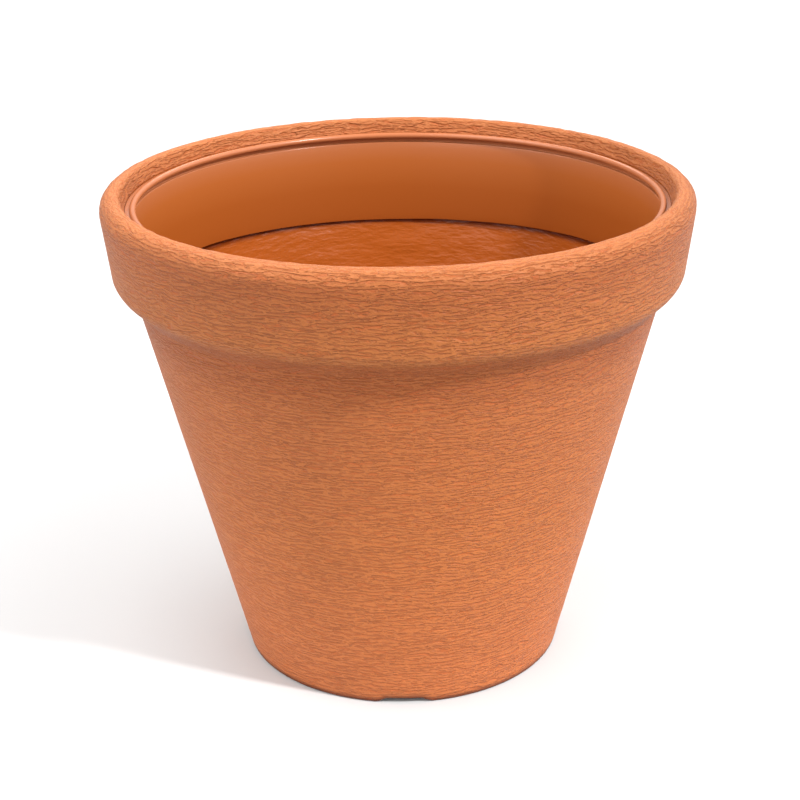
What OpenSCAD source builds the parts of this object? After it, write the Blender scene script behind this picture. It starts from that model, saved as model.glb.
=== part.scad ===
// Round plastic flower pot: a thin moulded shell with a collar and a rolled rim,
// a smooth sleeve that snaps into the mouth, and push-in plugs in the drain holes.
// Millimetres, +Z up, origin on the ground at the centre of the foot.

/* [Shell] */
// Height from the ground to the top of the rim
pot_h = 338; // [318:1:370]
// Diameter across the widest part of the collar
rim_d = 400; // [385:1:430]
// Diameter of the foot
foot_d = 225; // [205:1:245]
// Thickness of the moulded wall
wall = 3; // [2:0.25:3.5]

/* [Collar] */
// Height of the collar, from the top of the body to the top of the rim
collar_h = 72.5; // [66:0.5:84]
// How far the collar's lower corner stands out from the body
collar_step = 15; // [12:0.5:18]
// How far the collar's side leans out on its way up
collar_lean = 6; // [3:0.5:8]
// Height of the collar's sloping underside
underside_h = 14.5; // [12:0.5:20]
// Rounding of the collar's lower corner
corner_round = 12.5; // [6:0.5:14]
// Rounding of the hollow corner between body and collar
neck_round = 4; // [2:0.5:6]

/* [Rim] */
// Rounding between the collar's side and the top of the rim
crest_round = 10.5; // [8:0.5:12]
// Width of the flat left on top of the rim between its two roundings
crown_flat = 0.4; // [0.2:0.1:2]
// Rounding where the top of the rim turns down into the mouth
brow_round = 3.5; // [2.5:0.25:5]
// Angle of the rim's inner slope from upright
mouth_slope = 18; // [12:1:22]
// Depth of the sleeve's seat below the top of the rim
seat_depth = 11.6; // [10:0.2:14]
// Width of the ledge that the sleeve's flange sits on
ledge_w = 1.8; // [1.4:0.1:2.4]
// Length of the lip that hangs from the ledge
lip_h = 10; // [7:0.5:14]

/* [Foot] */
// Rounding of the foot's outer edge
foot_round = 2; // [1:0.25:3]
// Width of the ring that the pot stands on
foot_land = 6; // [5:0.5:9]
// Height of the hollow under the floor
foot_h = 9; // [7:0.5:14]
// Thickness of the floor
floor_t = 3.5; // [2.5:0.25:5]
// Rounding between the floor and the wall inside
floor_round = 8; // [5:0.5:12]
// Number of water notches in the foot
notch_n = 4; // [3:1:6]
// Width of a notch along the ground
notch_w = 40; // [34:1:48]
// Width of a notch along its flat top
notch_top_w = 21; // [14:1:26]
// Height of a notch
notch_h = 4; // [3:0.25:6]

/* [Sleeve] */
// Height of the sleeve, from the top of its bead to its lower edge
sleeve_h = 66; // [54:1:72]
// Wall of the sleeve at its lower edge
sleeve_wall = 2; // [1.6:0.1:2.5]
// Width of the free gap between the sleeve's lower edge and the shell
sleeve_gap = 1.5; // [1:0.25:4]
// Diameter of the bead round the sleeve's top
bead_d = 4.2; // [3.6:0.1:5]
// How far the bead's centre lies below the top of the flange
bead_sink = 0.6; // [0.3:0.1:1]
// Thickness of the flange that sits on the ledge
flange_t = 1.2; // [1:0.1:1.6]
// Wall left behind the groove under the bead
groove_wall = 1; // [0.8:0.1:1.4]
// Height of the groove under the bead
groove_h = 3.5; // [2.5:0.25:4.5]
// Wall at the shoulder under the groove
shoulder_wall = 3.2; // [2.6:0.1:3.6]
// How far the snap ridge reaches under the lip
snap_reach = 0.9; // [0.6:0.1:1.4]
// Height of the snap ridge
snap_h = 3; // [2:0.5:5]
// Rounding of the sleeve's free edges
sleeve_round = 0.6; // [0.3:0.1:0.7]
// Rounding inside the groove
groove_round = 0.5; // [0.2:0.1:0.8]
// Gap between the sleeve and the shell where they fit together
fit_gap = 0.2; // [0.1:0.05:0.3]

/* [Drain] */
// Diameter of a drain hole
drain_d = 16; // [12:0.5:22]
// Diameter of the circle that the drain holes lie on
drain_circle_d = 124; // [100:1:140]

/* [Plug] */
// Radial clearance between a plug's stem and its hole
plug_gap = 0.08; // [0.05:0.01:0.1]
// How far a plug's head laps over the edge of its hole
plug_lap = 5; // [3:0.5:7]
// Thickness of a plug's head
plug_head_t = 2.6; // [2:0.1:4]
// Rounding of the head's top edge
plug_round = 1.3; // [0.5:0.1:1.6]
// How far a plug's stem reaches below the floor
plug_reach = 2.5; // [1.5:0.25:4]
// Wall of a plug's hollow stem
plug_wall = 1.8; // [1.2:0.1:2.4]
// Height of a plug's pull tab above its head
tab_h = 10; // [9:0.5:15]
// Width of a plug's pull tab
tab_w = 13; // [11:0.5:16]
// Thickness of a plug's pull tab
tab_t = 3; // [2:0.25:4]

/* [Hidden] */
// Sides of a full turn of the pot and of a plug, and steps in a rounded corner
turn_sides = 120;
plug_sides = 48;
arc_steps = 6;
// How far a cutting shape runs past the surface that it cuts
cut_over = 1;
// The drain holes lie between the front, side and back of the pot
drain_angles = [45, 135, 225, 315];

// Heights that the driving sizes fix
collar_z = pot_h - collar_h;
corner_z = collar_z + underside_h;
seat_z = pot_h - seat_depth;
flange_z = seat_z + flange_t;
lip_z = seat_z - lip_h;
floor_z = foot_h + floor_t;

// Radii of the outside; the collar's leaning side runs tangent to the crest's rounding
rim_r = rim_d / 2;
foot_r = foot_d / 2;
lean_angle = atan(collar_lean / (pot_h - crest_round - corner_z));
crest_corner_r = rim_r + crest_round * ((1 + sin(lean_angle)) / cos(lean_angle) - 1);
corner_r = rim_r + crest_round * (1 / cos(lean_angle) - 1) - collar_lean;
body_top_r = corner_r - collar_step;

// Radii of the mouth; the brow's rounding starts where the crown's flat ends
brow_r = rim_r - crest_round - crown_flat - brow_round * tan((90 - mouth_slope) / 2);
mouth_r = brow_r - (pot_h - flange_z) * tan(mouth_slope);
lip_r = mouth_r - ledge_w;

// How far the body's wall moves out for each millimetre up, and its thickness measured level
body_slope = (body_top_r - foot_r) / collar_z;
level_wall = wall * sqrt(1 + body_slope * body_slope);
function body_out_r(z) = foot_r + body_slope * z;
function body_in_r(z) = body_out_r(z) - level_wall;

// The sleeve's own radii and heights
neck_r = lip_r - fit_gap;
flange_r = mouth_r - fit_gap;
groove_r = neck_r - groove_wall;
shoulder_r = neck_r - shoulder_wall;
bead_r = bead_d / 2;
bead_centre = [shoulder_r, flange_z - bead_sink];
bead_top_z = bead_centre[1] + bead_r;
bead_low_z = bead_centre[1] - bead_r;
shoulder_z = bead_low_z - groove_h;
snap_z = lip_z - fit_gap;
sleeve_z = bead_top_z - sleeve_h;
sleeve_low_r = body_in_r(min(sleeve_z, collar_z)) - sleeve_gap;

// The plug's own sizes
stem_r = drain_d / 2 - plug_gap;
head_r = drain_d / 2 + plug_lap;
stem_h = floor_t + plug_reach;

// Small helpers for outlines in the plane of radius and height
function flat(p) = [p[0], p[1]];
function unit(v) = v / norm(v);
function left_of(v) = [-v[1], v[0]];
function turn_between(u, v) = u[0] * v[1] - u[1] * v[0];
function short_way(a) = a > 180 ? a - 360 : (a < -180 ? a + 360 : a);
function backward(list) = [for (i = [len(list) - 1 : -1 : 0]) list[i]];
function arc(centre, r, from, to, steps) =
    [for (i = [0 : steps]) let (a = from + (to - from) * i / steps) centre + r * [cos(a), sin(a)]];

// One corner [radius, height, rounding] between its neighbours, as the points of its arc
function corner_points(before, at, after) =
    at[2] == 0 ? [flat(at)] :
    let (
        u = unit(flat(before) - flat(at)),
        v = unit(flat(after) - flat(at)),
        half = acos(u * v) / 2,
        centre = flat(at) + unit(u + v) * at[2] / sin(half),
        start = flat(at) + u * at[2] / tan(half) - centre,
        end = flat(at) + v * at[2] / tan(half) - centre,
        from = atan2(start[1], start[0]),
        sweep = short_way(atan2(end[1], end[0]) - from)
    )
    arc(centre, at[2], from, from + sweep, arc_steps);

// An open outline with its corners rounded
function rounded(c) = [
    for (i = [0 : len(c) - 1])
        each (i == 0 || i == len(c) - 1 ? [flat(c[i])] : corner_points(c[i - 1], c[i], c[i + 1]))
];

// Corner i of an outline after every line of it has moved to its left by d
function inset_corner(c, i, d) =
    let (
        u = unit(flat(c[i]) - flat(c[i - 1])),
        v = unit(flat(c[i + 1]) - flat(c[i])),
        moved = flat(c[i]) + (left_of(u) + left_of(v)) * d / (1 + u * v),
        rounding = max(0, c[i][2] - sign(turn_between(u, v)) * d)
    )
    [moved[0], moved[1], rounding];

// The shell's outside, from the ground up, over the rim and down into the mouth
outside = [
    [foot_r - foot_land, 0, 0],
    [foot_r, 0, foot_round],
    [body_top_r, collar_z, neck_round],
    [corner_r, corner_z, corner_round],
    [crest_corner_r, pot_h, crest_round],
    [brow_r, pot_h, brow_round],
    [mouth_r, flange_z, 0],
];

// Where the rim's inner slope ends on the hidden side of the wall
slope_foot = [mouth_r, flange_z] + wall * left_of([-sin(mouth_slope), -cos(mouth_slope)]);

// The shell's inside, from the centre of the floor up to the hidden side of the lip
inside = concat(
    [[0, floor_z, 0], [body_in_r(floor_z), floor_z, floor_round]],
    [for (i = [2 : 5]) inset_corner(outside, i, wall)],
    [
        [slope_foot[0], slope_foot[1], 0],
        [lip_r + wall, seat_z - wall, 0],
        [lip_r + wall, lip_z, 0],
    ]
);

// The ledge and lip that hold the sleeve, and the hollow under the floor
lip = [[mouth_r, seat_z], [lip_r, seat_z], [lip_r, lip_z]];
hollow = [[0, foot_h], [foot_r - foot_land, foot_h]];

module shell_section() {
    polygon(concat(rounded(outside), lip, backward(rounded(inside)), hollow));
}

// The shallow arch that is cut through the foot, with eased ends
module notch_outline() {
    half_w = notch_w / 2;
    half_top = notch_top_w / 2;
    ease = [for (i = [0 : arc_steps]) i / arc_steps];
    rise = [for (t = ease) [half_w - (half_w - half_top) * t, notch_h * (1 - cos(180 * t)) / 2]];
    fall = [for (p = backward(rise)) [-p[0], p[1]]];
    polygon(concat([[half_w, -cut_over]], rise, fall, [[-half_w, -cut_over]]));
}

module notch() {
    depth = foot_land + body_out_r(notch_h) - foot_r + 2 * cut_over;
    translate([0, foot_land + cut_over - foot_r, 0])
        rotate([90, 0, 0])
            linear_extrude(height = depth)
                notch_outline();
}

module drain_hole() {
    translate([0, 0, foot_h - cut_over])
        cylinder(h = floor_t + 2 * cut_over, d = drain_d, $fn = plug_sides);
}

module at_drain(angle) {
    rotate([0, 0, angle])
        translate([drain_circle_d / 2, 0, 0])
            children();
}

module pot_shell() {
    color("#cf7c50")
    difference() {
        rotate_extrude($fn = turn_sides) shell_section();
        for (i = [0 : notch_n - 1])
            rotate([0, 0, 360 * i / notch_n]) notch();
        for (angle = drain_angles)
            at_drain(angle) drain_hole();
    }
}

// The sleeve's outer side: skirt, snap ridge under the lip, neck and flange
sleeve_outer = [
    [sleeve_low_r - sleeve_wall / 2, sleeve_z, 0],
    [sleeve_low_r, sleeve_z, sleeve_round],
    [neck_r, snap_z - snap_h, 0],
    [lip_r + snap_reach, snap_z, 0],
    [neck_r, snap_z, 0],
    [neck_r, seat_z, 0],
    [flange_r, seat_z, 0],
    [flange_r, flange_z, 0],
];

// The sleeve's inner side under the bead: groove, shoulder and skirt
sleeve_inner = [
    [bead_centre[0], bead_low_z, 0],
    [groove_r, bead_low_z, groove_round],
    [groove_r, shoulder_z, groove_round],
    [shoulder_r, shoulder_z, sleeve_round],
    [sleeve_low_r - sleeve_wall, sleeve_z, sleeve_round],
    [sleeve_low_r - sleeve_wall / 2, sleeve_z, 0],
];

module sleeve_section() {
    bead_start = asin(bead_sink / bead_r);
    bead = arc(bead_centre, bead_r, bead_start, 270, 4 * arc_steps);
    inner = rounded(sleeve_inner);
    polygon(concat(rounded(sleeve_outer), bead, [for (i = [1 : len(inner) - 2]) inner[i]]));
}

module rim_sleeve() {
    color("#c56f42")
    rotate_extrude($fn = turn_sides) sleeve_section();
}

// A plug's head and hollow stem, turned about its own axis, with the floor's top at zero
module plug_body() {
    rotate_extrude($fn = plug_sides)
        polygon(rounded([
            [0, 0, 0],
            [0, plug_head_t, 0],
            [head_r, plug_head_t, plug_round],
            [head_r, 0, 0],
            [stem_r, 0, 0],
            [stem_r, -stem_h, 0],
            [stem_r - plug_wall, -stem_h, 0],
            [stem_r - plug_wall, 0, 0],
        ]));
}

// The tab that a finger pulls, an upright plate with a round top, sunk into the head
module pull_tab() {
    round_z = plug_head_t + tab_h - tab_w / 2;
    foot_z = plug_head_t / 2;
    rotate([90, 0, 0])
        translate([0, 0, -tab_t / 2])
            union() {
                translate([-tab_w / 2, foot_z, 0])
                    cube([tab_w, round_z - foot_z, tab_t]);
                translate([0, round_z, 0])
                    cylinder(h = tab_t, d = tab_w, $fn = plug_sides);
            }
}

module drain_plug(angle) {
    color("#a85a38")
    at_drain(angle)
        translate([0, 0, floor_z])
            union() {
                plug_body();
                pull_tab();
            }
}

pot_shell();
rim_sleeve();
for (i = [1 : len(drain_angles)])
    drain_plug(drain_angles[i - 1]);
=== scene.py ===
"""A round flower pot of terracotta-coloured plastic, with a smooth sleeve in its mouth and drain plugs."""

import math

import bmesh
import bpy
from mathutils import Matrix, Vector, kdtree, noise


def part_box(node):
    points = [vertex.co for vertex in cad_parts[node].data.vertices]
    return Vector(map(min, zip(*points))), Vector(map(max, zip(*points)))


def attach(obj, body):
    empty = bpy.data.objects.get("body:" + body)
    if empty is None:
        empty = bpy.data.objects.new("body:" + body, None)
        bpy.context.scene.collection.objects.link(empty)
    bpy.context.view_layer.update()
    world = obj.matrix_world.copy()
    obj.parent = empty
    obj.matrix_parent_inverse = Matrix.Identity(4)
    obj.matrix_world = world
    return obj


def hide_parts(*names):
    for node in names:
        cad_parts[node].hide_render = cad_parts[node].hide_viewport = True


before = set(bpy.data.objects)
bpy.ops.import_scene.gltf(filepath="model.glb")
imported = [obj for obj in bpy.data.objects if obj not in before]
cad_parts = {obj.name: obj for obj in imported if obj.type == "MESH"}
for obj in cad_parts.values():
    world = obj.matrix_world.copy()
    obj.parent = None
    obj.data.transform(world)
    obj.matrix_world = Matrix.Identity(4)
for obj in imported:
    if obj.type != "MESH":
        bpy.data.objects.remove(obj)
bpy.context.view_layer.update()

MM = 0.001

# Sizes in millimetres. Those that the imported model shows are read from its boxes. NOTCH_H, BEAD_R, BEAD_SINK
# and GROOVE_H differ by up to 0.8 mm from the solids, to match the photograph.
shell_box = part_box("pot_shell")
sleeve_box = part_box("rim_sleeve")
POT_H = shell_box[1].z / MM
RIM_R = round(shell_box[1].x / MM)
SLEEVE_LOW_Z = sleeve_box[0].z / MM

FOOT_R = 112.5
WALL = 3.0
COLLAR_H = 72.5
COLLAR_STEP = 15.0
COLLAR_LEAN = 6.0
UNDERSIDE_H = 14.5
CORNER_ROUND = 12.5
NECK_ROUND = 4.0
CREST_ROUND = 10.5
CROWN_FLAT = 0.4
BROW_ROUND = 3.5
MOUTH_SLOPE = math.radians(18)
SEAT_DEPTH = 11.6
LEDGE_W = 1.8
LIP_H = 10.0
FOOT_ROUND = 2.0
FOOT_LAND = 6.0
FOOT_H = 9.0
FLOOR_T = 3.5
FLOOR_ROUND = 8.0
FLOOR_EDGE_W = 12.0
NOTCH_COUNT = 4
NOTCH_W = 40.0
NOTCH_TOP_W = 21.0
NOTCH_H = 3.2
DRAIN_D = 16.0
DRAIN_CIRCLE_R = 62.0
DRAIN_TURNS = (45, 135, 225, 315)

SLEEVE_WALL = 2.0
SLEEVE_GAP = 1.5
BEAD_R = 2.2
BEAD_SINK = 1.2
FLANGE_T = 1.2
GROOVE_WALL = 1.0
GROOVE_H = 3.1
SHOULDER_WALL = 3.2
SNAP_REACH = 0.9
SNAP_H = 3.0
SLEEVE_ROUND = 0.6
GROOVE_ROUND = 0.5
FIT_GAP = 0.2

# The flange's top lies this far below the solid one's, which leaves a narrow step beside the bead
FLANGE_SINK = 1.0

# The sleeve's thin lower edge is a little out of true: its mean rise, its oval, its unrest and the length of
# that round the pot, and how far up all this reaches
EDGE_RISE = 0.2
EDGE_OVAL = 1.8
EDGE_UNREST = 0.5
EDGE_UNREST_LENGTH = 40
EDGE_REACH = 28

# Places that these sizes fix
COLLAR_Z = POT_H - COLLAR_H
CORNER_Z = COLLAR_Z + UNDERSIDE_H
SEAT_Z = POT_H - SEAT_DEPTH
FLANGE_Z = SEAT_Z + FLANGE_T
LIP_Z = SEAT_Z - LIP_H
FLOOR_Z = FOOT_H + FLOOR_T
LEAN = math.atan(COLLAR_LEAN / (POT_H - CREST_ROUND - CORNER_Z))
CREST_R = RIM_R + CREST_ROUND * ((1 + math.sin(LEAN)) / math.cos(LEAN) - 1)
CORNER_R = RIM_R + CREST_ROUND * (1 / math.cos(LEAN) - 1) - COLLAR_LEAN
BODY_TOP_R = CORNER_R - COLLAR_STEP
BROW_R = RIM_R - CREST_ROUND - CROWN_FLAT - BROW_ROUND * math.tan((math.pi / 2 - MOUTH_SLOPE) / 2)
MOUTH_R = BROW_R - (POT_H - FLANGE_Z) * math.tan(MOUTH_SLOPE)
LIP_R = MOUTH_R - LEDGE_W
BODY_SLOPE = (BODY_TOP_R - FOOT_R) / COLLAR_Z
LEVEL_WALL = WALL * math.hypot(1, BODY_SLOPE)

# The visible shell is two closed meshes that meet this far under the collar
SEAM_DROP = 3.0
SEAM_Z = COLLAR_Z - SEAM_DROP

# How finely the meshes are divided: columns round the pot, and the most that a row measures along the outline
BODY_COLUMNS = 288
COLLAR_COLUMNS = 432
SLEEVE_COLUMNS = 288
BODY_ROW = 1.05
COLLAR_ROW = 0.85
FOOT_ROW = 1.5
INSIDE_ROW = 5.0
HIDDEN_ROW = 8.0
ROUND_STEPS = 6
HOLE_SIDES = 48

# Points this close become one, edges shorter than this go, and edges that turn by more than this stay sharp
SAME_POINT = 0.01
NO_LENGTH = 0.001
SHARP_EDGE = math.radians(32)

# How near the axis, the inner wall and the level of the floor's underside a point counts as on them
AXIS_R = 1.0
NEAR_WALL = 0.1
NEAR_LEVEL = 0.01


def body_out_r(z):
    """The tapered body's outer radius at a height."""
    return FOOT_R + BODY_SLOPE * z


def body_in_r(z):
    """The tapered body's inner radius at a height."""
    return body_out_r(z) - LEVEL_WALL


def smooth_step(low, high, value):
    """0 up to low, 1 from high on, and a smooth rise between them."""
    share = min(1.0, max(0.0, (value - low) / (high - low)))
    return share * share * (3 - 2 * share)


def draw_outline(bm, corners, row):
    """Adds an open outline of (radius, height, rounding) corners as edges no longer than row."""
    points = [bm.verts.new((corner[0] * MM, 0, corner[1] * MM)) for corner in corners]
    for low, high in zip(points, points[1:]):
        bm.edges.new((low, high))
    for point, corner in zip(points[1:-1], corners[1:-1]):
        rounding = corner[2] if len(corner) > 2 else 0
        if rounding:
            along, back = (edge.other_vert(point).co - point.co for edge in point.link_edges)
            reach = rounding * MM / math.tan(along.angle(back) / 2)
            bmesh.ops.bevel(
                bm, geom=[point], offset=reach, offset_type="OFFSET", segments=ROUND_STEPS,
                profile=0.5, affect="VERTICES", material=-1,
            )
    for edge in list(bm.edges):
        cuts = math.ceil(edge.calc_length() / MM / row) - 1
        if cuts > 0:
            bmesh.ops.subdivide_edges(bm, edges=[edge], cuts=cuts)


def turned_mesh(name, strips, columns, finishes, add_more=None):
    """A closed mesh turned about the pot's axis from outline strips, each (corners, row, finish number)."""
    whole = bmesh.new()
    if add_more:
        add_more(whole)
    for corners, row, finish in strips:
        strip = bmesh.new()
        draw_outline(strip, corners, row)
        bmesh.ops.spin(
            strip, geom=strip.verts[:] + strip.edges[:], cent=(0, 0, 0), axis=(0, 0, 1), dvec=(0, 0, 0),
            angle=math.tau, steps=columns, use_merge=True, use_normal_flip=False, use_duplicate=False,
        )
        for face in strip.faces:
            face.material_index = finish
        part = bpy.data.meshes.new("strip")
        strip.to_mesh(part)
        strip.free()
        whole.from_mesh(part)
        bpy.data.meshes.remove(part)
    bmesh.ops.remove_doubles(whole, verts=whole.verts, dist=SAME_POINT * MM)
    bmesh.ops.dissolve_degenerate(whole, edges=whole.edges, dist=NO_LENGTH * MM)
    bmesh.ops.recalc_face_normals(whole, faces=whole.faces)
    for face in whole.faces:
        face.smooth = True
    for edge in whole.edges:
        edge.smooth = edge.calc_face_angle(0) < SHARP_EDGE
    mesh = bpy.data.meshes.new(name)
    whole.to_mesh(mesh)
    whole.free()
    for material in finishes:
        mesh.materials.append(material)
    return mesh


# The outside's own outline, from the ground over the rim to the sleeve
OUTSIDE = [
    (FOOT_R - FOOT_LAND, 0),
    (FOOT_R, 0, FOOT_ROUND),
    (BODY_TOP_R, COLLAR_Z, NECK_ROUND),
    (CORNER_R, CORNER_Z, CORNER_ROUND),
    (CREST_R, POT_H, CREST_ROUND),
    (BROW_R, POT_H, BROW_ROUND),
    (MOUTH_R, FLANGE_Z),
]


class OutsideGuide:
    """Says how far along the outside a point lies, in millimetres, and which way the surface faces there."""

    off_surface = 0.08
    past_end = 1.0

    def __init__(self):
        outline = bmesh.new()
        draw_outline(outline, OUTSIDE, 1.0)
        outline.verts.ensure_lookup_table()
        start = min((v for v in outline.verts if len(v.link_edges) == 1), key=lambda v: v.co.z)
        chain = [start]
        edge = start.link_edges[0]
        while True:
            chain.append(edge.other_vert(chain[-1]))
            onward = [e for e in chain[-1].link_edges if e is not edge]
            if not onward:
                break
            edge = onward[0]
        self.points = [v.co / MM for v in chain]
        outline.free()
        self.along = [0.0]
        for low, high in zip(self.points, self.points[1:]):
            self.along.append(self.along[-1] + (high - low).length)
        self.ways = []
        last = len(self.points) - 1
        for i in range(last + 1):
            self.ways.append((self.points[min(i + 1, last)] - self.points[max(i - 1, 0)]).normalized())
        self.tree = kdtree.KDTree(len(self.points))
        for i, point in enumerate(self.points):
            self.tree.insert(point, i)
        self.tree.balance()

    def at(self, radius, height):
        """(distance along the outside, outward direction in radius and height), or None off the outside."""
        point = Vector((radius, 0, height))
        nearest, i, _ = self.tree.find(point)
        way = self.ways[i]
        facing = Vector((way.z, 0, -way.x))
        step = point - nearest
        if abs(step.dot(facing)) > self.off_surface or abs(step.dot(way)) > self.past_end:
            return None
        return self.along[i] + step.dot(way), facing


guide = OutsideGuide()
CREST_ALONG = guide.at(RIM_R - CREST_ROUND, POT_H)[0]
MOUTH_ALONG = guide.along[-1]
NECK_ALONG = FOOT_LAND + COLLAR_Z * math.hypot(1, BODY_SLOPE)

# The outside's colour at distances along it, with light and shade painted in: painted contact shade dark on
# the ground, painted light palest at the foot, painted shade deepest under the collar, and a painted highlight
# on the crest
OUTSIDE_TONES_AND_PAINTED_SHADE = (
    (FOOT_LAND * 0.5, "#4f2612"),
    (FOOT_LAND + 1.5, "#6b361b"),
    (FOOT_LAND + 5, "#b56738"),
    (NECK_ALONG * 0.5, "#a75f2e"),
    (NECK_ALONG - 34, "#9e592b"),
    (NECK_ALONG - 12, "#914e22"),
    (NECK_ALONG + 11, "#914e22"),
    (NECK_ALONG + 17, "#9b5a2b"),
    (CREST_ALONG - 20, "#935024"),
    (CREST_ALONG, "#a56337"),
    (MOUTH_ALONG, "#99562c"),
)
# The sleeve's colour at heights above its lower edge, with painted light: palest under the bead, and darker
# towards its lower edge as painted shade
SLEEVE_PAINTED_LIGHT_TONES = (
    (0, "#894417"),
    (24, "#8d481a"),
    (44, "#975224"),
    (56, "#9e5c36"),
    (60, "#a15f3b"),
)
# The inner wall's colour at heights counted downwards: a painted shadow darkens it behind the sleeve's lower
# edge
WALL_PAINTED_SHADOW_TONES = (
    (-(SLEEVE_LOW_Z + 8), "#602506"),
    (-(SLEEVE_LOW_Z - 2.5), "#602506"),
    (-(SLEEVE_LOW_Z - 5.5), "#974a17"),
    (-FLOOR_Z, "#a05019"),
)

# The clay's grooves in millimetres: how far apart they run, which is about as on the real pot, and over what
# length they bend and break off. The shift only picks other noise.
WIDE_GROOVES = {"spacing": 3.6, "bend_length": 24, "break_length": 5, "shift": 11}
FINE_GROOVES = {"spacing": 2.5, "bend_length": 16, "break_length": 3.6, "shift": 37}
RIM_GROOVES = {"spacing": 4.8, "bend_length": 18, "break_length": 7, "shift": 71}
FINE_SHARE = 0.8
RIM_SHARE = 0.4
# Deeper than the real grooves, of perhaps half a millimetre, so that they show
GROOVE_DEPTH = 0.82
# How much painted shade deepens the colour in the grooves
GROOVE_PAINTED_SHADE = 0.32


def streak(x, y, along, length, pitch, layer):
    """Noise drawn out round the pot: length and pitch are its grain in millimetres."""
    return noise.noise(Vector((x / length + layer * 7.3, y / length, along / pitch + layer * 31.7)))


def crease(x, y, along, length, pitch, width, layer):
    """1 along thin lines that run round the pot and meet in flat forks, and 0 between them."""
    return 1 - smooth_step(0, width, abs(streak(x, y, along, length, pitch, layer)))


def clay_relief(x, y, along):
    """Height of the brushed-clay relief in millimetres at a place on the outside, 0 at its highest."""
    rim = smooth_step(CREST_ALONG - 30, CREST_ALONG - 4, along)
    sway = 1.5 * noise.noise(Vector((x / 32, y / 32, along / 24)))
    level = along + sway
    broad = 0.06 * streak(x, y, level, length=19, pitch=6.5, layer=1)
    narrow = 0.07 * streak(x, y, level, length=10, pitch=3.6, layer=2)
    flakes = 0.30 * streak(x, y, level, length=11, pitch=5.0, layer=4)
    creases = 0.22 * crease(x, y, level, length=13, pitch=5.5, width=0.25, layer=5)
    height = broad + narrow - 0.05 + rim * (flakes - creases - 0.10)
    edge = smooth_step(2.0, 9.0, along - FOOT_LAND) * smooth_step(0.0, 2.5, MOUTH_ALONG - along)
    return min(0.0, height) * edge


def notch_lift(x, y, z):
    """How far the foot is lifted over the water notches."""
    turn = math.tau / NOTCH_COUNT
    angle = (math.atan2(y, x) + math.pi / 2 + turn / 2) % turn - turn / 2
    across = abs(math.hypot(x, y) * math.sin(angle))
    share = 1 - (across - NOTCH_TOP_W / 2) / ((NOTCH_W - NOTCH_TOP_W) / 2)
    share = min(1.0, max(0.0, share))
    arch = NOTCH_H * (1 - math.cos(math.pi * share)) / 2
    return arch * max(0.0, 1 - z / FOOT_H)


def inside_ripple(x, y, z):
    """Height in millimetres of the soft ripples that the relief leaves on the inside."""
    broad = noise.noise(Vector((x / 26, y / 26, z / 8)))
    narrow = noise.noise(Vector((x / 11, y / 11, z / 4.5 + 40)))
    fade = smooth_step(FLOOR_Z + 6, FLOOR_Z + 20, z) * smooth_step(0, 4, SEAM_Z - z)
    return (0.75 * broad + 0.35 * narrow) * fade


def press_surface(mesh):
    """Moves a shell mesh's points to the relief, ripples and notches, and keeps where each was moulded."""
    moulded = mesh.attributes.new("moulded_at", "FLOAT_VECTOR", "POINT")
    for vertex in mesh.vertices:
        x, y, z = vertex.co / MM
        radius = math.hypot(x, y)
        if radius < AXIS_R:
            moulded.data[vertex.index].vector = (x, y, z)
            continue
        out = Vector((x / radius, y / radius, 0))
        grain_r = min(radius, RIM_R - CREST_ROUND)
        place = guide.at(radius, z)
        if place:
            along, facing = place
            height = clay_relief(out.x * grain_r, out.y * grain_r, along)
            vertex.co += (out * facing.x + Vector((0, 0, facing.z))) * height * MM
        else:
            along = -z
            if abs(radius - body_in_r(z)) < NEAR_WALL:
                vertex.co -= out * inside_ripple(x, y, z) * MM
        moulded.data[vertex.index].vector = (out.x * grain_r, out.y * grain_r, along)
        if z < FOOT_H - NEAR_LEVEL:
            vertex.co.z += notch_lift(x, y, z) * MM
    mesh.update()


def new_piece(name, mesh, body, slot, *nodes):
    """Puts a mesh in the scene as a piece of the pot that rides on a body and stands for its CAD nodes."""
    piece = bpy.data.objects.new(name, mesh)
    bpy.context.scene.collection.objects.link(piece)
    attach(piece, body)
    if nodes:
        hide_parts(*nodes)
    return piece


def linear(hex_colour):
    """An sRGB hex colour as linear red, green, blue and alpha."""
    parts = [int(hex_colour[i:i + 2], 16) / 255 for i in (1, 3, 5)]
    return [c / 12.92 if c <= 0.04045 else ((c + 0.055) / 1.055) ** 2.4 for c in parts] + [1.0]


def add_node(tree, kind, inputs=None, output=0, **settings):
    """Adds a node with its settings and its inputs' values or links, and returns one of its outputs."""
    node = tree.nodes.new("ShaderNode" + kind)
    for name, value in settings.items():
        setattr(node, name, value)
    for name, value in (inputs or {}).items():
        if isinstance(value, bpy.types.NodeSocket):
            tree.links.new(value, node.inputs[name])
        else:
            node.inputs[name].default_value = value
    return node.outputs[output]


def new_material(name):
    """A new material with its node tree and its shader."""
    material = bpy.data.materials.new(name)
    material.use_nodes = True
    tree = material.node_tree
    return material, tree, tree.nodes["Principled BSDF"]


def grain(tree, place, length, pitch, detail, shift):
    """Noise drawn out round the pot: length and pitch are its grain in millimetres."""
    drawn = add_node(tree, "Mapping", {
        "Vector": place,
        "Location": (shift, 0, shift * 1.7),
        "Scale": (1 / length, 1 / length, 1 / pitch),
    })
    return add_node(tree, "TexNoise", {"Vector": drawn, "Scale": 1.0, "Detail": detail})


def soft_range(low, high, to_low=0.0, to_high=1.0):
    """The inputs with which a map range node goes from one pair of numbers to another."""
    return {"From Min": low, "From Max": high, "To Min": to_low, "To Max": to_high}


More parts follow.
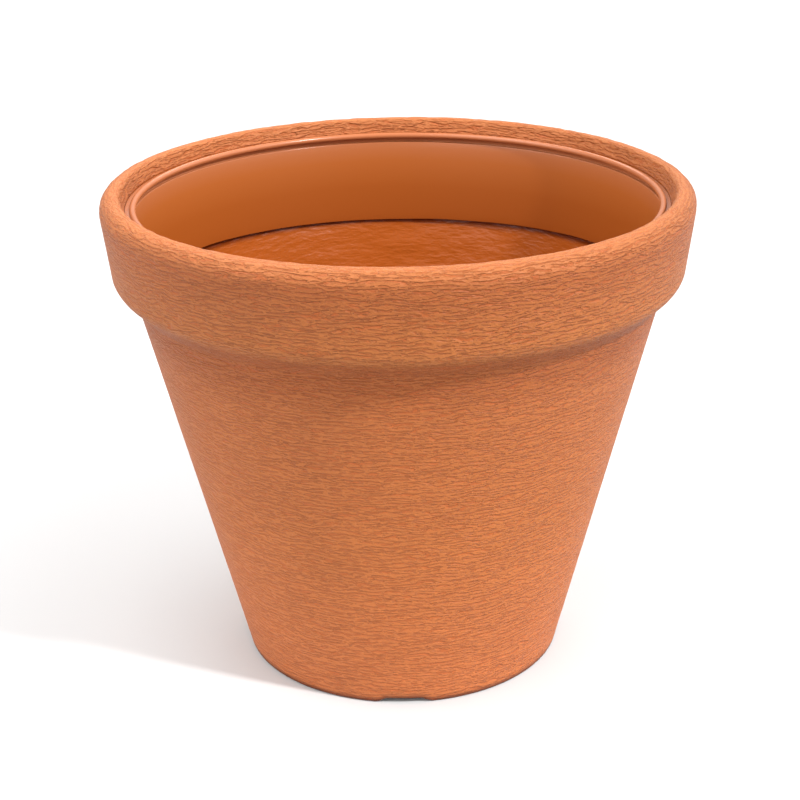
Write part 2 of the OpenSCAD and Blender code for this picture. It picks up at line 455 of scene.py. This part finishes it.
def combed_grooves(tree, place, spacing, bend_length, break_length, shift):
    """1 in thin grooves that run round the pot, spacing millimetres apart, and 0 where they break off."""
    bend_turns = 3.2
    bend_pitch = 2.3 * spacing
    break_pitch = 0.46 * spacing
    along = add_node(tree, "SeparateXYZ", {"Vector": place}, output="Z")
    count = add_node(tree, "Math", {0: along, 1: math.tau / spacing}, operation="MULTIPLY")
    bend = grain(tree, place, bend_length, bend_pitch, detail=1, shift=shift)
    turn = add_node(tree, "Math", {0: bend, 1: bend_turns * math.tau, 2: count}, operation="MULTIPLY_ADD")
    # The upper part of each wave is a groove, which breaks off where the patches are thin
    wave = add_node(tree, "Math", {0: turn}, operation="SINE")
    line = add_node(tree, "MapRange", {"Value": wave, **soft_range(0.1, 1.0)})
    patch = grain(tree, place, break_length, break_pitch, detail=1, shift=shift + 3)
    kept = add_node(
        tree, "MapRange", {"Value": patch, **soft_range(0.42, 0.52)}, interpolation_type="SMOOTHSTEP",
    )
    return add_node(tree, "Math", {0: line, 1: kept}, operation="MULTIPLY")


def tones_along(tree, along, tones):
    """The colour at a distance in millimetres, from (distance, hex colour) pairs in rising order."""
    first, last = tones[0][0], tones[-1][0]
    share = add_node(tree, "MapRange", {"Value": along, **soft_range(first, last)})
    colour = add_node(tree, "ValToRGB", {"Fac": share})
    steps = colour.node.color_ramp.elements
    for at, tone in tones[1:-1]:
        steps.new((at - first) / (last - first)).color = linear(tone)
    steps[0].color = linear(tones[0][1])
    steps[-1].color = linear(tones[-1][1])
    return colour


def brushed_polypropylene():
    """Polypropylene moulded against a brushed-clay relief: matt, with thin flat grooves and lit edges."""
    material, tree, shader = new_material("brushed_polypropylene")
    place = add_node(tree, "Attribute", output="Vector", attribute_name="moulded_at")
    along = add_node(tree, "SeparateXYZ", {"Vector": place}, output="Z")

    # Wide and fine grooves all over, and coarse ones that come in towards the rim
    wide = combed_grooves(tree, place, **WIDE_GROOVES)
    fine = combed_grooves(tree, place, **FINE_GROOVES)
    fine = add_node(tree, "Math", {0: fine, 1: FINE_SHARE}, operation="MULTIPLY")
    groove = add_node(tree, "Math", {0: wide, 1: fine}, operation="MAXIMUM")
    rim = add_node(
        tree, "MapRange", {"Value": along, **soft_range(CREST_ALONG - 30, CREST_ALONG - 6, 0, RIM_SHARE)},
        interpolation_type="SMOOTHSTEP",
    )
    coarse = combed_grooves(tree, place, **RIM_GROOVES)
    coarse = add_node(tree, "Math", {0: coarse, 1: rim}, operation="MULTIPLY")
    depth = add_node(tree, "Math", {0: groove, 1: coarse}, operation="ADD")

    # They are shallower on the rim's crest, which is smoother, and on the body than on the collar
    crest = add_node(tree, "Math", {0: along, 1: CREST_ALONG - 1}, operation="SUBTRACT")
    crest = add_node(tree, "Math", {0: crest}, operation="ABSOLUTE")
    calm = add_node(
        tree, "MapRange", {"Value": crest, **soft_range(2, 8, 0.4, 1)}, interpolation_type="SMOOTHSTEP",
    )
    depth = add_node(tree, "Math", {0: depth, 1: calm}, operation="MULTIPLY")
    neck = soft_range(NECK_ALONG - 25, NECK_ALONG + 5, 0.85, 1)
    bold = add_node(tree, "MapRange", {"Value": along, **neck})
    depth = add_node(tree, "Math", {0: depth, 1: bold}, operation="MULTIPLY")

    # The skin's grain is really about a tenth of a millimetre, and is drawn coarser so that it shows
    skin = grain(tree, place, length=2.4, pitch=0.9, detail=1, shift=51)
    height = add_node(tree, "Math", {0: depth, 1: -GROOVE_DEPTH}, operation="MULTIPLY")
    height = add_node(tree, "Math", {0: skin, 1: 0.6, 2: height}, operation="MULTIPLY_ADD")
    relief = add_node(tree, "Bump", {"Strength": 1.0, "Distance": MM, "Height": height})

    # Faint clouds a few centimetres wide in the colour, and painted shade that gives the grooves a deeper tone
    # Its tones along the outside hold painted shade under the collar and on the ground, and painted light at
    # the foot and on the crest
    tone = tones_along(tree, along, OUTSIDE_TONES_AND_PAINTED_SHADE)
    cloud = grain(tree, place, length=46, pitch=34, detail=1, shift=3)
    bleach = add_node(tree, "MapRange", {"Value": cloud, **soft_range(0.3, 0.7, 0.975, 1.025)})
    tone = add_node(tree, "VectorMath", {0: tone, "Scale": bleach}, operation="SCALE")
    # Painted shade in the grooves, darker and more saturated than the bump alone makes them
    groove_shade = add_node(tree, "Math", {0: groove, 1: GROOVE_PAINTED_SHADE}, operation="MULTIPLY")
    tone = add_node(tree, "Mix", {0: groove_shade, 6: tone, 7: linear("#923200")}, output=2, data_type="RGBA")

    shader.inputs["Roughness"].default_value = 0.55
    shader.inputs["IOR"].default_value = 1.49
    shader.inputs["Specular IOR Level"].default_value = 0.24
    tree.links.new(tone, shader.inputs["Base Color"])
    tree.links.new(relief, shader.inputs["Normal"])
    return material


def glossy_polypropylene():
    """The same plastic on the inner wall: glossy, over soft ripples of a few millimetres."""
    material, tree, shader = new_material("glossy_polypropylene")
    place = add_node(tree, "Attribute", output="Vector", attribute_name="moulded_at")
    ripple = grain(tree, place, length=9, pitch=3.2, detail=2, shift=5)
    relief = add_node(tree, "Bump", {"Strength": 1.0, "Distance": 0.7 * MM, "Height": ripple})
    along = add_node(tree, "SeparateXYZ", {"Vector": place}, output="Z")
    # Painted shadow on the wall behind the sleeve's lower edge
    tone = tones_along(tree, along, WALL_PAINTED_SHADOW_TONES)
    shader.inputs["Roughness"].default_value = 0.27
    shader.inputs["IOR"].default_value = 1.49
    shader.inputs["Specular IOR Level"].default_value = 0.22
    tree.links.new(tone, shader.inputs["Base Color"])
    tree.links.new(relief, shader.inputs["Normal"])
    return material


def satin_polypropylene():
    """Polypropylene moulded against a polished core: satin, with a faint orange peel."""
    material, tree, shader = new_material("satin_polypropylene")
    place = add_node(tree, "TexCoord", output="Object")
    # Real orange peel is about 2 mm across, and is drawn coarser so that it shows
    peel = add_node(tree, "TexNoise", {"Vector": place, "Scale": 1 / (6 * MM)})
    relief = add_node(tree, "Bump", {"Strength": 1.0, "Distance": 0.05 * MM, "Height": peel})
    height = add_node(tree, "SeparateXYZ", {"Vector": place}, output="Z")
    height = add_node(tree, "Math", {0: height, 1: 1 / MM, 2: -SLEEVE_LOW_Z}, operation="MULTIPLY_ADD")
    # Painted light near the sleeve's top and painted shade towards its lower edge
    tone = tones_along(tree, height, SLEEVE_PAINTED_LIGHT_TONES)
    shader.inputs["Roughness"].default_value = 0.24
    shader.inputs["IOR"].default_value = 1.49
    shader.inputs["Specular IOR Level"].default_value = 0.33
    tree.links.new(tone, shader.inputs["Base Color"])
    tree.links.new(relief, shader.inputs["Normal"])
    return material


def soft_polyethylene():
    """Soft moulded polyethylene: a little darker than the pot, and waxy."""
    material, tree, shader = new_material("soft_polyethylene")
    place = add_node(tree, "TexCoord", output="Object")
    # The real grain is a few tenths of a millimetre, and is drawn coarser so that it shows
    peel = add_node(tree, "TexNoise", {"Vector": place, "Scale": 1 / (1.5 * MM)})
    relief = add_node(tree, "Bump", {"Strength": 1.0, "Distance": 0.04 * MM, "Height": peel})
    tones = {6: linear("#864528"), 7: linear("#8e4c2d")}
    tone = add_node(tree, "Mix", {0: peel, **tones}, output=2, data_type="RGBA")
    shader.inputs["Roughness"].default_value = 0.48
    shader.inputs["IOR"].default_value = 1.51
    tree.links.new(tone, shader.inputs["Base Color"])
    tree.links.new(relief, shader.inputs["Normal"])
    return material


BRUSHED, GLOSSY = 0, 1
shell_finishes = [brushed_polypropylene(), glossy_polypropylene()]

SEAM_OUT = (body_out_r(SEAM_Z), SEAM_Z)
SEAM_IN = (body_in_r(SEAM_Z), SEAM_Z)
FLOOR_PLATE_R = body_in_r(FLOOR_Z) - FLOOR_EDGE_W


def drain_plates(bm):
    """The two faces of the floor, with the walls of the drain holes between them."""
    rims = []
    for height, radius in ((FLOOR_Z, FLOOR_PLATE_R), (FOOT_H, FOOT_R - FOOT_LAND)):
        level = Matrix.Translation((0, 0, height * MM))
        outer = bmesh.ops.create_circle(bm, segments=BODY_COLUMNS, radius=radius * MM, matrix=level)["verts"]
        edges = {edge for vertex in outer for edge in vertex.link_edges}
        for turn in DRAIN_TURNS:
            at = Matrix.Rotation(math.radians(turn), 4, "Z") @ Matrix.Translation((DRAIN_CIRCLE_R * MM, 0, 0))
            hole = bmesh.ops.create_circle(
                bm, segments=HOLE_SIDES, radius=DRAIN_D / 2 * MM, matrix=level @ at,
            )["verts"]
            rims.append({edge for vertex in hole for edge in vertex.link_edges})
            edges |= rims[-1]
        bmesh.ops.triangle_fill(bm, use_beauty=True, edges=list(edges))
    for top, bottom in zip(rims, rims[len(DRAIN_TURNS):]):
        bmesh.ops.bridge_loops(bm, edges=list(top | bottom))
    for face in bm.faces:
        face.material_index = GLOSSY


def make_body():
    """The tapered body with its floor and foot, up to the seam under the collar."""
    strips = [
        (OUTSIDE[:2] + [SEAM_OUT], BODY_ROW, BRUSHED),
        ([SEAM_OUT, SEAM_IN], HIDDEN_ROW, GLOSSY),
        ([SEAM_IN, (body_in_r(FLOOR_Z), FLOOR_Z, FLOOR_ROUND), (FLOOR_PLATE_R, FLOOR_Z)], INSIDE_ROW, GLOSSY),
        ([(FOOT_R - FOOT_LAND, FOOT_H), (FOOT_R - FOOT_LAND, 0)], FOOT_ROW, GLOSSY),
    ]
    mesh = turned_mesh("pot_body", strips, BODY_COLUMNS, shell_finishes, drain_plates)
    press_surface(mesh)
    return new_piece("pot_body", mesh, "pot", "shell", "pot_shell")


def inset(before, at, after, distance):
    """A corner of the outside after the lines on both its sides have moved inwards."""
    ahead = Vector((after[0] - at[0], after[1] - at[1])).normalized()
    behind = Vector((at[0] - before[0], at[1] - before[1])).normalized()
    shift = Vector((-behind.y - ahead.y, behind.x + ahead.x)) * distance / (1 + behind.dot(ahead))
    turn = behind.x * ahead.y - behind.y * ahead.x
    return at[0] + shift.x, at[1] + shift.y, max(0.0, at[2] - math.copysign(distance, turn))


def make_collar():
    """The leaning collar with its rolled rim, down to the lip that holds the sleeve."""
    slope_foot = (MOUTH_R + WALL * math.cos(MOUTH_SLOPE), FLANGE_Z - WALL * math.sin(MOUTH_SLOPE))
    hidden = [inset(OUTSIDE[i - 1], OUTSIDE[i], OUTSIDE[i + 1], WALL) for i in (5, 4, 3, 2)]
    lip = [(MOUTH_R, FLANGE_Z), (MOUTH_R, SEAT_Z), (LIP_R, SEAT_Z), (LIP_R, LIP_Z)]
    back = [(LIP_R + WALL, LIP_Z), (LIP_R + WALL, SEAT_Z - WALL), slope_foot]
    strips = [
        ([SEAM_OUT] + OUTSIDE[2:], COLLAR_ROW, BRUSHED),
        (lip + back + hidden + [SEAM_IN], HIDDEN_ROW, GLOSSY),
        ([SEAM_IN, SEAM_OUT], HIDDEN_ROW, GLOSSY),
    ]
    mesh = turned_mesh("pot_collar", strips, COLLAR_COLUMNS, shell_finishes)
    press_surface(mesh)
    return new_piece("pot_collar", mesh, "pot", "shell", "pot_shell")


def make_sleeve():
    """The smooth sleeve in the mouth, with its bead, groove, flange and snap ridge."""
    neck_r = LIP_R - FIT_GAP
    flange_r = MOUTH_R - FIT_GAP
    groove_r = neck_r - GROOVE_WALL
    shoulder_r = neck_r - SHOULDER_WALL
    bead_z = FLANGE_Z - BEAD_SINK
    bead_low = bead_z - BEAD_R
    bead_top = bead_z + BEAD_R
    # Just under the bead's radius, so that its roundings don't meet
    bead_round = BEAD_R * 0.97
    snap_z = LIP_Z - FIT_GAP
    low_r = body_in_r(SLEEVE_LOW_Z) - SLEEVE_GAP
    outline = [
        (low_r - SLEEVE_WALL / 2, SLEEVE_LOW_Z),
        (low_r, SLEEVE_LOW_Z, SLEEVE_ROUND),
        (neck_r, snap_z - SNAP_H),
        (LIP_R + SNAP_REACH, snap_z),
        (neck_r, snap_z),
        (neck_r, SEAT_Z),
        (flange_r, SEAT_Z),
        (flange_r, FLANGE_Z - FLANGE_SINK),
        (shoulder_r + BEAD_R, FLANGE_Z - FLANGE_SINK),
        (shoulder_r + BEAD_R, bead_top, bead_round),
        (shoulder_r - BEAD_R, bead_top, bead_round),
        (shoulder_r - BEAD_R, bead_low, bead_round),
        (groove_r, bead_low, GROOVE_ROUND),
        (groove_r, bead_low - GROOVE_H, GROOVE_ROUND),
        (shoulder_r, bead_low - GROOVE_H, SLEEVE_ROUND),
        (low_r - SLEEVE_WALL, SLEEVE_LOW_Z, SLEEVE_ROUND),
        (low_r - SLEEVE_WALL / 2, SLEEVE_LOW_Z),
    ]
    mesh = turned_mesh("mouth_sleeve", [(outline, INSIDE_ROW, 0)], SLEEVE_COLUMNS, [satin_polypropylene()])
    for vertex in mesh.vertices:
        x, y, z = vertex.co / MM
        oval = EDGE_OVAL * math.cos(2 * math.atan2(y, x))
        unrest = EDGE_UNREST * noise.noise(Vector((x / EDGE_UNREST_LENGTH, y / EDGE_UNREST_LENGTH, 0)))
        share = 1 - smooth_step(0, EDGE_REACH, z - SLEEVE_LOW_Z)
        vertex.co.z += (EDGE_RISE + oval + unrest) * MM * share
    mesh.update()
    return new_piece("mouth_sleeve", mesh, "pot", "sleeve", "rim_sleeve")


make_body()
make_collar()
make_sleeve()

plug_finish = soft_polyethylene()
for name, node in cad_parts.items():
    if name.startswith("drain_plug"):
        node.data.materials.clear()
        node.data.materials.append(plug_finish)


def white_paper():
    """Plain matt paper."""
    material, tree, shader = new_material("white_paper")
    shader.inputs["Base Color"].default_value = linear("#c4c4c4")
    shader.inputs["Roughness"].default_value = 0.9
    return material


def make_floor():
    """A white paper floor, wide enough to fill every view."""
    sheet = bmesh.new()
    bmesh.ops.create_grid(sheet, x_segments=1, y_segments=1, size=8.0)
    mesh = bpy.data.meshes.new("floor")
    sheet.to_mesh(mesh)
    sheet.free()
    mesh.materials.append(white_paper())
    ground = bpy.data.objects.new("floor", mesh)
    bpy.context.scene.collection.objects.link(ground)


def add_light(name, shape, place, aim, size, power):
    """An area light in metres and watts that the camera doesn't see."""
    lamp = bpy.data.lights.new(name, "AREA")
    lamp.shape = shape
    lamp.size = size[0]
    lamp.size_y = size[1]
    lamp.energy = power
    light = bpy.data.objects.new(name, lamp)
    light.location = place
    light.rotation_euler = (Vector(aim) - Vector(place)).to_track_quat("-Z", "Y").to_euler()
    light.visible_camera = False
    bpy.context.scene.collection.objects.link(light)


def toward(azimuth, elevation):
    """The direction of a light: azimuth 0 is the front and 90 the right, both angles in degrees."""
    around, up = math.radians(azimuth), math.radians(elevation)
    return Vector((math.sin(around) * math.cos(up), -math.cos(around) * math.cos(up), math.sin(up)))


def make_lights():
    """A key from the right, soft boxes above the left and the far floor, and a room with two pale walls."""
    middle = Vector((0, 0, 0.2))
    key_place = toward(azimuth=51, elevation=45.5) * 4.5 + middle
    add_light("key", "DISK", key_place, aim=middle, size=(0.36, 0.36), power=222)
    add_light("left_top_box", "RECTANGLE", (-0.5, 0, 1.1), aim=(-0.5, 0, 0), size=(0.7, 0.7), power=8.5)
    add_light("far_floor_box", "RECTANGLE", (0, 3.2, 2.4), aim=(0, 3.4, 0), size=(3.0, 1.4), power=60)
    world = bpy.data.worlds.new("pale_room")
    world.use_nodes = True
    tree = world.node_tree
    way = add_node(tree, "TexCoord", output="Generated")
    glow = 0.65
    pale_walls = (
        {"azimuth": 300, "elevation": 5, "edge": 0.45, "strength": 2.25},
        {"azimuth": 85, "elevation": 18, "edge": 0.35, "strength": 1.7},
    )
    for wall in pale_walls:
        middle_way = toward(wall["azimuth"], wall["elevation"])
        facing = add_node(
            tree, "VectorMath", {0: way, 1: middle_way}, output="Value", operation="DOT_PRODUCT",
        )
        light = add_node(
            tree, "MapRange", {"Value": facing, **soft_range(wall["edge"], 0.95, 0, wall["strength"])},
            interpolation_type="SMOOTHSTEP",
        )
        glow = add_node(tree, "Math", {0: light, 1: glow}, operation="ADD")
    tree.links.new(glow, tree.nodes["Background"].inputs["Strength"])
    tree.nodes["Background"].inputs["Color"].default_value = (1, 1, 1, 1)
    bpy.context.scene.world = world
    bpy.context.scene.view_settings.view_transform = "Standard"


def make_camera():
    """The camera stands in front, a little above the rim, turned a trifle off level."""
    eye = Vector((0, -1.1724, 0.6522))
    look = Vector((-0.0002, 0.92729, -0.37437)).normalized()
    roll = -0.0129
    level = look.cross(Vector((0, 0, 1))).normalized()
    upright = level.cross(look)
    right = level * math.cos(roll) + upright * math.sin(roll)
    up = upright * math.cos(roll) - level * math.sin(roll)
    lens = bpy.data.cameras.new("camera")
    lens.sensor_width = 36
    lens.lens = 80.43
    lens.clip_end = 50
    camera = bpy.data.objects.new("camera", lens)
    turn = Matrix((right, up, -look)).transposed().to_4x4()
    camera.matrix_world = Matrix.Translation(eye) @ turn
    bpy.context.scene.collection.objects.link(camera)
    bpy.context.scene.camera = camera


make_floor()
make_lights()
make_camera()
